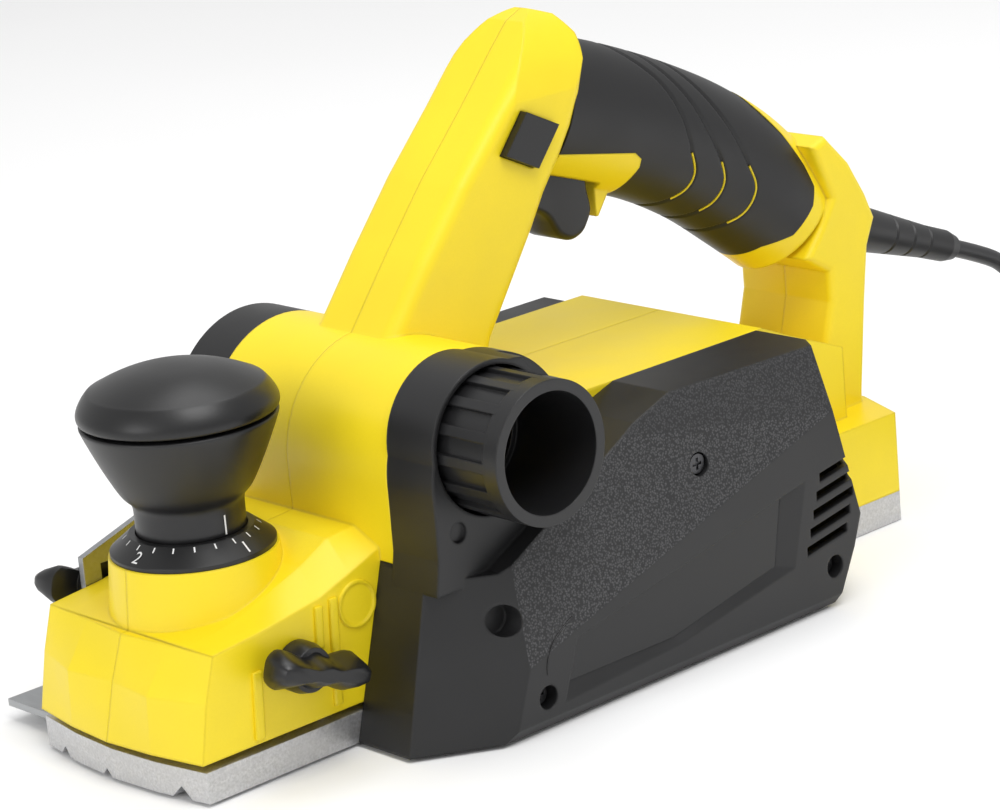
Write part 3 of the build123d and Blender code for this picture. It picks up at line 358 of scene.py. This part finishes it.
STEEL = machined("bright_steel", (0.62, 0.62, 0.63), 0.28)
DARK_STEEL = machined("dark_steel", (0.10, 0.10, 0.105), 0.4)
ALLOY = machined("machined_alloy", (0.58, 0.58, 0.60), 0.34)
CORE = machined("core_steel", (0.22, 0.21, 0.20), 0.5)
COPPER = machined("copper", (0.72, 0.40, 0.20), 0.32)
WHITE = moulded("white_mark", (0.86, 0.86, 0.85), 0.5, 0.1, 0.6, 0.01, 0.1, 0.03)

BY_SLOT = {
    "shell_yellow": YELLOW, "shell_black": BLACK, "grip_rubber": RUBBER, "sole_metal": SOLE, "steel": STEEL,
    "screw_steel": DARK_STEEL, "black_part": SMALL_BLACK, "panel_black": PANEL, "port_black": PORT,
    "dial_black": DIAL, "knob_black": KNOB, "knob_cap_black": KNOB_TOP, "machined_alloy": ALLOY,
    "belt_rubber": BELT, "core_steel": CORE, "copper": COPPER, "trigger_black": SMALL_BLACK,
    "button_black": SMALL_BLACK, "guard_rubber": GUARD, "lead_rubber": LEAD, "plug_rubber": GUARD,
    "stop_plate": PLATE, "wing_black": SMALL_BLACK,
}


def dress_frame():
    slots = {part["node"]: part["material_slot"] for part in frame["record"]["subparts"]}
    for node, piece in frame["nodes"].items():
        material = COVER if node == "belt_cover" else BY_SLOT[slots[node]]
        piece.data.materials.clear()
        piece.data.materials.append(material)


dress_frame()
lead.data.materials.append(LEAD)

# ---------------------------------------------------------------- piece helpers


def finish_piece(piece, material, body, replaced=()):
    piece.data.materials.append(material)
    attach(piece, body)
    if replaced:
        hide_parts(*replaced)
    return piece


def mesh_piece(name, points, faces, smooth=True):
    """A mesh from points in the tool's frame."""
    mesh = bpy.data.meshes.new(name)
    mesh.from_pydata([at(*p) for p in points], [], faces)
    work = bmesh.new()
    work.from_mesh(mesh)
    bmesh.ops.recalc_face_normals(work, faces=work.faces)
    work.to_mesh(mesh)
    work.free()
    mesh.polygons.foreach_set("use_smooth", [smooth] * len(mesh.polygons))
    piece = bpy.data.objects.new(name, mesh)
    bpy.context.collection.objects.link(piece)
    return piece


def rounded(points, radius, steps=4):
    """A closed polygon with each corner replaced by a short arc."""
    result = []
    count = len(points)
    for i, corner in enumerate(points):
        here = Vector(corner)
        before = Vector(points[i - 1]) - here
        after = Vector(points[(i + 1) % count]) - here
        cut = min(radius, before.length * 0.45, after.length * 0.45)
        start = here + before.normalized() * cut
        end = here + after.normalized() * cut
        for step in range(steps + 1):
            t = step / steps
            result.append(tuple(start * (1 - t) ** 2 + here * (2 * t * (1 - t)) + end * t ** 2))
    return result


def strip(low, high, count):
    """The faces between two rings of points, given by the number of each ring's first point."""
    return [(low + i, low + (i + 1) % count, high + (i + 1) % count, high + i) for i in range(count)]


def prism_mesh(name, outline, y0, y1):
    """A straight prism on an outline in x and z."""
    count = len(outline)
    points = [(x, y0, z) for x, z in outline] + [(x, y1, z) for x, z in outline]
    faces = [tuple(range(count)), tuple(range(count, 2 * count))] + strip(0, count, count)
    return mesh_piece(name, points, faces, False)


def lathe(name, profile, x, y, segments=96):
    """A turned form about a vertical axis, from its (radius, z) line between two points on the axis."""
    points = [(x, y, profile[0][1])]
    for radius, z in profile[1:-1]:
        for i in range(segments):
            angle = 2 * math.pi * i / segments
            points.append((x + radius * math.cos(angle), y + radius * math.sin(angle), z))
    points.append((x, y, profile[-1][1]))
    faces = []
    rings = len(profile) - 2
    last = 1 + (rings - 1) * segments
    for i in range(segments):
        j = (i + 1) % segments
        faces += [(0, 1 + j, 1 + i), (last + i, last + j, len(points) - 1)]
    for low in range(1, last, segments):
        faces += strip(low, low + segments, segments)
    return mesh_piece(name, points, faces)


# ---------------------------------------------------------------- depth knob

KNOB_X = 82.5
NECK_R = 17.45
# The dial's sloping face, from its outer to its inner edge
DIAL_OUTER_R = 26
DIAL_OUTER_Z = 66.5
DIAL_INNER_R = 19.6
DIAL_INNER_Z = 71.6
DIAL_SLOPE = math.atan2(DIAL_INNER_Z - DIAL_OUTER_Z, DIAL_OUTER_R - DIAL_INNER_R)
TICKS = 20
NUMBER_R = 23.7
NUMBER_HEIGHT = 6.2
NUMBER_OFFSET = math.radians(6)
NUMBERS = (("1", 90), ("2", 0), ("3", -90), ("0", 180))


def add_knob():
    cone = [(0, 65.6), (17.2, 65.6), (17.3, 74), (17.2, 79), (17.5, 81.2), (18.6, 82.6), (20.3, 83.9),
            (22.2, 87.2), (25.7, 94.2), (28.6, 100.8), (30.9, 106.4), (31.1, 107.3), (30.7, 107.8),
            (0, 107.8)]
    body = lathe("knob_cone", cone, KNOB_X, 0)
    finish_piece(body, KNOB, "depth_knob", ("knob_body",))
    cap = [(0, 108.4), (29.9, 108.4), (30.9, 108.7), (31.5, 109.5), (31.55, 111.0), (31.1, 112.6),
           (29.6, 115.2), (27.9, 117.2), (27.4, 117.55), (26.9, 117.7), (25.0, 118.7), (21.5, 120.3),
           (17.5, 121.8), (12.5, 123.2), (6.5, 124.0), (0, 124.3)]
    top = lathe("knob_dome", cap, KNOB_X, 0)
    finish_piece(top, KNOB_TOP, "depth_knob", ("knob_cap",))
    for piece in (body, top):
        modifier = piece.modifiers.new("smooth", "SUBSURF")
        modifier.levels = modifier.render_levels = 1


def ring_point(radius, azimuth, z):
    return Vector((KNOB_X + radius * math.cos(azimuth), radius * math.sin(azimuth), z))


def collar_height(radius):
    """Height of the dial's sloping face at a radius."""
    return DIAL_OUTER_Z + (DIAL_OUTER_R - radius) * math.tan(DIAL_SLOPE)


def mark(azimuth, inner, outer, width, lift=0.12):
    """One white line on the dial, along the slope."""
    side = Vector((-math.sin(azimuth), math.cos(azimuth), 0)) * (width / 2)
    low = ring_point(outer, azimuth, collar_height(outer) + lift)
    high = ring_point(inner, azimuth, collar_height(inner) + lift)
    return [low - side, low + side, high + side, high - side]


def add_dial_marks():
    """White lines round the dial, and one on the knob's neck."""
    points, faces = [], []
    for i in range(TICKS):
        points += mark(2 * math.pi * i / TICKS, 20.1, 21.6, 0.5)
        faces.append(tuple(range(len(points) - 4, len(points))))
    finish_piece(mesh_piece("dial_ticks", points, faces, False), WHITE, TOOL_BODY)
    side = Vector((0.3, 0, 0))
    low = ring_point(NECK_R, math.pi / 2, 72.2)
    high = ring_point(NECK_R, math.pi / 2, 78.4)
    line = [low - side, low + side, high + side, high - side]
    index = mesh_piece("knob_index", line, [(0, 1, 2, 3)], False)
    finish_piece(index, WHITE, "depth_knob")


def add_dial_numbers():
    for text, degrees in NUMBERS:
        azimuth = math.radians(degrees)
        data = bpy.data.curves.new("dial_number_" + text, "FONT")
        data.body = text
        data.size = NUMBER_HEIGHT * MM
        data.align_x = "CENTER"
        data.align_y = "CENTER"
        data.extrude = 0.02 * MM
        piece = bpy.data.objects.new("dial_number_" + text, data)
        bpy.context.collection.objects.link(piece)
        outward = Vector((math.cos(azimuth), math.sin(azimuth), 0))
        across = Vector((-math.sin(azimuth), math.cos(azimuth), 0))
        upward = (-outward * math.cos(DIAL_SLOPE) + Vector((0, 0, 1)) * math.sin(DIAL_SLOPE)).normalized()
        turn = Matrix((across, upward, across.cross(upward))).transposed()
        place = at(*ring_point(NUMBER_R, azimuth + NUMBER_OFFSET, collar_height(NUMBER_R) + 0.15))
        piece.matrix_world = Matrix.Translation(place) @ turn.to_4x4()
        finish_piece(piece, WHITE, TOOL_BODY)


add_knob()
add_dial_marks()
add_dial_numbers()

# ---------------------------------------------------------------- wing knobs


# Sections outward from the clamped face: depth and scale of the wings, depth and radius of the hub
WING_LEVELS = ((5.2, 0.86), (6.0, 0.97), (8.0, 1.0), (13.5, 1.0), (16.0, 0.94), (16.9, 0.80))
HUB_LEVELS = ((0.1, 7.6), (0.6, 8.1), (4.8, 8.1), (8.5, 7.0))
HUB_SEGMENTS = 32


def wing_outline():
    return rounded([(-18, -3.6), (-14.5, -6.5), (-9, -5.6), (-5, -4.2), (0, -6.4), (5, -4.2), (9, -5.6),
                    (14.5, -6.5), (18, -3.6), (18, 3.4), (14.5, 6.5), (9, 5.2), (5, 3.6), (0, 6.2),
                    (-5, 3.6), (-9, 5.2), (-14.5, 6.5), (-18, 3.4)], 2.4, 3)


def stacked(sections, first=0):
    """The faces of a closed form on sections with equal counts of points, numbered from first."""
    count = len(sections[0])
    last = first + (len(sections) - 1) * count
    faces = [tuple(range(first, first + count)), tuple(range(last, last + count))]
    for low in range(first, last, count):
        faces += strip(low, low + count, count)
    return faces


def add_wing(name, node, body, x, z, y_face, outward, tilt):
    """Two waisted wings over a round hub."""
    angle = math.radians(tilt)
    wings = []
    for depth, scale in WING_LEVELS:
        section = []
        taper = 1 - 0.06 * max(0, depth - 8)
        for u, v in wing_outline():
            u, v = u * scale, v * scale * taper
            section.append((x + u * math.cos(angle) - v * math.sin(angle), y_face + outward * depth,
                            z + u * math.sin(angle) + v * math.cos(angle)))
        wings.append(section)
    hub = []
    for depth, radius in HUB_LEVELS:
        turns = [2 * math.pi * i / HUB_SEGMENTS for i in range(HUB_SEGMENTS)]
        hub.append([(x + radius * math.cos(turn), y_face + outward * depth, z + radius * math.sin(turn))
                    for turn in turns])
    faces = stacked(wings) + stacked(hub, len(wings) * len(wings[0]))
    piece = mesh_piece(name, sum(wings + hub, []), faces)
    piece.data.set_sharp_from_angle(angle=math.radians(38))
    finish_piece(piece, SMALL_BLACK, body, (node,))


add_wing("stop_wing", "depth_stop_knob", "rebate_stop_knob", 86, 44.5, -44.0, -1, 12)
add_wing("guide_wing", "guide_clamp_knob", "guide_knob", 80, 34, 41.3, 1, 18)

# ---------------------------------------------------------------- grip

# Sections along the grip: centre x, centre z, slope in degrees, half height, half width
GRIP = [
    (-76.0, 171.5, 20.0, 25.0, 18.6), (-97.0, 164.5, 22.0, 25.0, 19.0), (-123.0, 154.5, 27.0, 24.5, 19.4),
    (-149.0, 141.0, 32.0, 24.8, 20.0), (-173.0, 124.0, 40.0, 24.8, 20.6), (-188.0, 110.0, 47.0, 23.0, 20.6),
]
SLEEVE_END = [
    (-158, 182), (-169.4, 154.2), (-178.6, 142.8), (-185.3, 130.7), (-188.2, 122.5), (-185.5, 116.2),
    (-176.4, 107.5), (-166, 105), (-157, 98), (-157, 80), (-235, 80), (-235, 182),
]
BAR_SIDE = [(-62, 160), (-103.5, 152.2), (-106.5, 149.5), (-106.5, 146.5), (-98, 132), (-62, 120)]
GROOVES = [
    [(-97, 197), (-103, 190), (-111, 183), (-118, 176), (-122, 170), (-125, 163), (-127.4, 155),
     (-129, 147), (-130.9, 139.5), (-128.6, 133.5), (-122, 129.5), (-112, 128)],
    [(-110, 191), (-118, 183), (-125.5, 174.5), (-131.5, 165.5), (-136, 156), (-139.6, 148), (-142.6, 141),
     (-144.2, 133.4), (-141.2, 126.4), (-134, 122), (-124, 120)],
    [(-124, 184), (-132, 176), (-139.5, 166.5), (-146, 156), (-151, 146.5), (-155.4, 137), (-158.4, 128.5),
     (-154.6, 120), (-146, 115.4), (-136, 112)],
]
GROOVE_DEPTH = 1.0
GROOVE_HALF = 0.75
# Where each groove's yellow line starts among its points, and how much of the rest it covers
LINE_STARTS = (7, 6, 5)
LINE_SHARE = 0.84
CUT_HALF_WIDTH = 40


def neighbours(items, i):
    """The items before, at and after the span that starts at i, held at the ends."""
    return [items[max(0, min(len(items) - 1, k))] for k in (i - 1, i, i + 1, i + 2)]


def between(a, b, c, d, u):
    """The smooth curve's value from b to c, for u from 0 to 1."""
    return 0.5 * (2 * b + (c - a) * u + (2 * a - 5 * b + 4 * c - d) * u * u
                  + (3 * b - a - 3 * c + d) * u ** 3)


def grip_section(t):
    """A smooth curve through the sections; t runs from 0 to the number of spans."""
    i = min(int(t), len(GRIP) - 2)
    return [between(a, b, c, d, t - i) for a, b, c, d in zip(*neighbours(GRIP, i))]


def smooth_line(points, step=0.6):
    """A curve through the points, cut into short pieces."""
    line = []
    for i in range(len(points) - 1):
        before, start, end, after = (Vector(point) for point in neighbours(points, i))
        pieces = max(2, int((end - start).length / step))
        line += [between(before, start, end, after, k / pieces) for k in range(pieces)]
    line.append(Vector(points[-1]))
    return line


def groove_depth(places):
    """How deep the grooves are at places given in x and z, as a numpy array."""
    depth = np.zeros(len(places))
    for groove in GROOVES:
        line = np.array([tuple(p) for p in smooth_line(groove)])
        nearest = np.full(len(places), 99.0)
        for start in range(0, len(places), 4000):
            part = places[start:start + 4000]
            gaps = np.linalg.norm(part[:, None, :] - line[None, :, :], axis=2)
            nearest[start:start + 4000] = gaps.min(axis=1)
        shape = np.clip(1 - nearest / GROOVE_HALF, 0, 1)
        depth = np.maximum(depth, GROOVE_DEPTH * np.sqrt(shape))
    return depth


def grip_surface(rings, around):
    points = []
    for ring in range(rings):
        x, z, slope, half_height, half_width = grip_section((len(GRIP) - 1) * ring / (rings - 1))
        lean = math.radians(slope)
        for i in range(around):
            angle = 2 * math.pi * i / around
            rise = half_height * math.cos(angle)
            across = half_width * math.sin(angle)
            points.append((x - rise * math.sin(lean), across, z + rise * math.cos(lean)))
    return np.array(points)


def carve(piece, outline):
    """Cuts a prism out of a piece and keeps the result as its mesh."""
    cutter = prism_mesh("cutter", outline, -CUT_HALF_WIDTH, CUT_HALF_WIDTH)
    modifier = piece.modifiers.new("cut", "BOOLEAN")
    modifier.object = cutter
    modifier.operation = "DIFFERENCE"
    modifier.solver = "EXACT"
    bpy.context.view_layer.update()
    evaluated = piece.evaluated_get(bpy.context.evaluated_depsgraph_get())
    mesh = bpy.data.meshes.new_from_object(evaluated)
    piece.modifiers.clear()
    piece.data = mesh
    bpy.data.objects.remove(cutter)


def add_grip():
    rings, around = 340, 300
    surface = grip_surface(rings, around)
    depth = groove_depth(surface[:, [0, 2]])
    grid = surface.reshape(rings, around, 3)
    inward = np.roll(grid, around // 2, axis=1) - grid
    inward /= np.linalg.norm(inward, axis=2, keepdims=True)
    sections = grid + inward * depth.reshape(rings, around, 1)
    sleeve = mesh_piece("grip_rubber_sleeve", sections.reshape(-1, 3).tolist(), stacked(sections))
    carve(sleeve, SLEEVE_END)
    carve(sleeve, BAR_SIDE)
    sleeve.data.set_sharp_from_angle(angle=math.radians(50))
    sleeve.data.materials.clear()
    finish_piece(sleeve, RUBBER, TOOL_BODY, ("grip_sleeve",))


def on_grip(x, z, sink):
    """The point of the grip's left face at x and z, a little below the surface."""
    low, high = 0.0, float(len(GRIP) - 1)
    for _ in range(30):
        middle = (low + high) / 2
        centre_x, centre_z, slope, _, _ = grip_section(middle)
        lean = math.radians(slope)
        beyond = (centre_x - x) * math.cos(lean) + (centre_z - z) * math.sin(lean)
        low, high = (middle, high) if beyond > 0 else (low, middle)
    centre_x, centre_z, slope, half_height, half_width = grip_section(low)
    lean = math.radians(slope)
    rise = (z - centre_z) * math.cos(lean) - (x - centre_x) * math.sin(lean)
    share = max(-0.999, min(0.999, rise / half_height))
    return Vector((x, half_width * math.sqrt(1 - share * share) - sink, z))


def add_groove_lines():
    """Thin yellow lines in the lower halves of the grooves, on both sides."""
    for number, (groove, first) in enumerate(zip(GROOVES, LINE_STARTS)):
        line = smooth_line(groove[first:-1], 1.2)
        line = line[:int(len(line) * LINE_SHARE)]
        for side in (-1, 1):
            data = bpy.data.curves.new("groove_line", "CURVE")
            data.dimensions = "3D"
            spline = data.splines.new("POLY")
            spline.points.add(len(line) - 1)
            for point, place in zip(spline.points, line):
                spot = on_grip(place[0], place[1], 0.45)
                point.co = (*at(spot[0], side * spot[1], spot[2]), 1.0)
            data.bevel_depth = 0.42 * MM
            data.bevel_resolution = 3
            name = "groove_line_%d_%s" % (number + 1, "left" if side > 0 else "right")
            piece = bpy.data.objects.new(name, data)
            bpy.context.collection.objects.link(piece)
            finish_piece(piece, YELLOW, TOOL_BODY)


add_grip()
add_groove_lines()

# ---------------------------------------------------------------- small details on the shells


def bar(name, corners, y0, y1, material, body=TOOL_BODY, bevel=0.4):
    """A flat bar from its corners in x and z."""
    piece = prism_mesh(name, corners, y0, y1)
    modifier = piece.modifiers.new("edge", "BEVEL")
    modifier.width = bevel * MM
    modifier.segments = 2
    return finish_piece(piece, material, body)


TRIGGER_HALF = 9.2


def add_trigger():
    """The switch trigger, with its round finger lobe."""
    outline = [(-60.5, 158), (-60.5, 145), (-63, 140.5), (-70, 136.5), (-74.6, 128.5), (-80, 126),
               (-86, 127.6), (-90.6, 134.5), (-88.5, 144), (-90, 152), (-70, 158)]
    piece = bar("trigger_lobe", rounded(outline, 3.0, 5), -TRIGGER_HALF, TRIGGER_HALF, SMALL_BLACK,
                "trigger", 2.2)
    piece.modifiers["edge"].segments = 4
    piece.modifiers["edge"].limit_method = "ANGLE"
    piece.modifiers["edge"].angle_limit = math.radians(50)
    piece.data.polygons.foreach_set("use_smooth", [True] * len(piece.data.polygons))
    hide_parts("trigger")


NOSE_RIBS = (
    ("front", [(98.2, 15.0), (94.6, 15.0), (93.2, 36.5), (96.8, 36.5)]),
    ("middle", [(71.5, 36.0), (68.5, 36.0), (67.5, 49.5), (70.5, 49.5)]),
    ("rear", [(66.6, 16.0), (63.4, 16.0), (61.4, 50.5), (64.6, 50.5)]),
)
RIB_INNER = 40.6
RIB_OUTER = 42.1


def add_nose_ribs():
    """Raised guide ribs beside the clamping knobs, on both sides of the nose."""
    for side, word in ((1, "left"), (-1, "right")):
        for place, corners in NOSE_RIBS:
            bar("nose_rib_%s_%s" % (place, word), corners, side * RIB_INNER, side * RIB_OUTER, YELLOW)


BADGE_X = 53.6
BADGE_Z = 45.6


def add_blank_badge():
    """A plain round boss on the left side of the nose."""
    segments = 48
    profile = [(0.0, 41.25), (6.4, 41.25), (6.7, 41.7), (7.5, 41.7), (7.8, 40.9)]
    points = [(BADGE_X, profile[0][1], BADGE_Z)]
    for radius, y in profile[1:]:
        for i in range(segments):
            angle = 2 * math.pi * i / segments
            points.append((BADGE_X + radius * math.cos(angle), y, BADGE_Z + radius * math.sin(angle)))
    faces = []
    for i in range(segments):
        faces.append((0, 1 + i, 1 + (i + 1) % segments))
    for ring in range(len(profile) - 2):
        faces += strip(1 + ring * segments, 1 + (ring + 1) * segments, segments)
    piece = mesh_piece("nose_badge_blank", points, faces)
    piece.data.set_sharp_from_angle(angle=math.radians(30))
    finish_piece(piece, YELLOW, TOOL_BODY)


def add_flute_shade_line():
    """A thin curved groove on the belt cover, not cut but drawn as a dark line of painted groove shade that
    starts in front of the panel.
    """
    corners = [(15, 18.8), (14.6, 22.6), (13.2, 26), (10.2, 29), (6.3, 31.6), (0.8, 34.2)]
    line = smooth_line(corners, 1.0)
    start_x, start_y, start_z = BAND_POINT
    along, outward, rise = BAND_NORMAL
    data = bpy.data.curves.new("cover_flute_shade", "CURVE")
    data.dimensions = "3D"
    spline = data.splines.new("POLY")
    spline.points.add(len(line) - 1)
    for point, (x, z) in zip(spline.points, line):
        fall = max(0, (along * (x - start_x) + rise * (z - start_z)) / outward)
        point.co = (*at(x, start_y - fall, z), 1.0)
    data.bevel_depth = 0.3 * MM
    data.bevel_resolution = 2
    piece = bpy.data.objects.new("cover_flute_shade", data)
    bpy.context.collection.objects.link(piece)
    # The near-black panel material on this line is painted shade in the groove.
    finish_piece(piece, PANEL, TOOL_BODY)


add_trigger()
add_nose_ribs()
add_blank_badge()
add_flute_shade_line()

# ---------------------------------------------------------------- stage


FLOOR_HALF = 6.0
FLOOR_GAP = 0.0002
# Each light's name, place, aim, size and power
LIGHTS = (
    ("key", (0.2, 0.9, 1.7), (0, 0, 0.05), 0.9, 14.5),
    ("top", (-0.3, -0.1, 1.8), (0, 0, 0.05), 1.2, 10.0),
    ("front", (1.6, 0.1, 0.7), (0, 0, 0.08), 0.7, 4.5),
)


def add_stage():
    mesh = bpy.data.meshes.new("floor")
    corners = [(x * FLOOR_HALF, y * FLOOR_HALF, 0) for x, y in ((-1, -1), (1, -1), (1, 1), (-1, 1))]
    mesh.from_pydata(corners, [], [(0, 1, 2, 3)])
    floor = bpy.data.objects.new("floor", mesh)
    bpy.context.collection.objects.link(floor)
    nodes = Nodes("floor_paper")
    soft = nodes.noise(400.0, 2.0)
    nodes.link(nodes.mix(nodes.ramp(soft, 0.0, 1.0), (0.95, 0.95, 0.95), (0.97, 0.97, 0.97)),
               nodes.shader.inputs["Base Color"])
    nodes.shader.inputs["Roughness"].default_value = 0.9
    mesh.materials.append(nodes.material)
    floor.location.z = cad_box[0][2] - FLOOR_GAP


def add_light(name, place, aim, size, power):
    data = bpy.data.lights.new(name, "AREA")
    data.energy = power
    data.size = size
    light = bpy.data.objects.new(name, data)
    light.location = place
    light.rotation_euler = (Vector(aim) - Vector(place)).to_track_quat("-Z", "Y").to_euler()
    bpy.context.collection.objects.link(light)


def add_lights():
    world = bpy.data.worlds.new("studio")
    bpy.context.scene.world = world
    world.use_nodes = True
    background = world.node_tree.nodes["Background"]
    background.inputs["Color"].default_value = (1.0, 1.0, 1.0, 1.0)
    background.inputs["Strength"].default_value = 0.66
    for light in LIGHTS:
        add_light(*light)


add_stage()
add_lights()
bpy.context.scene.view_settings.view_transform = "Standard"

bpy.context.view_layer.update()
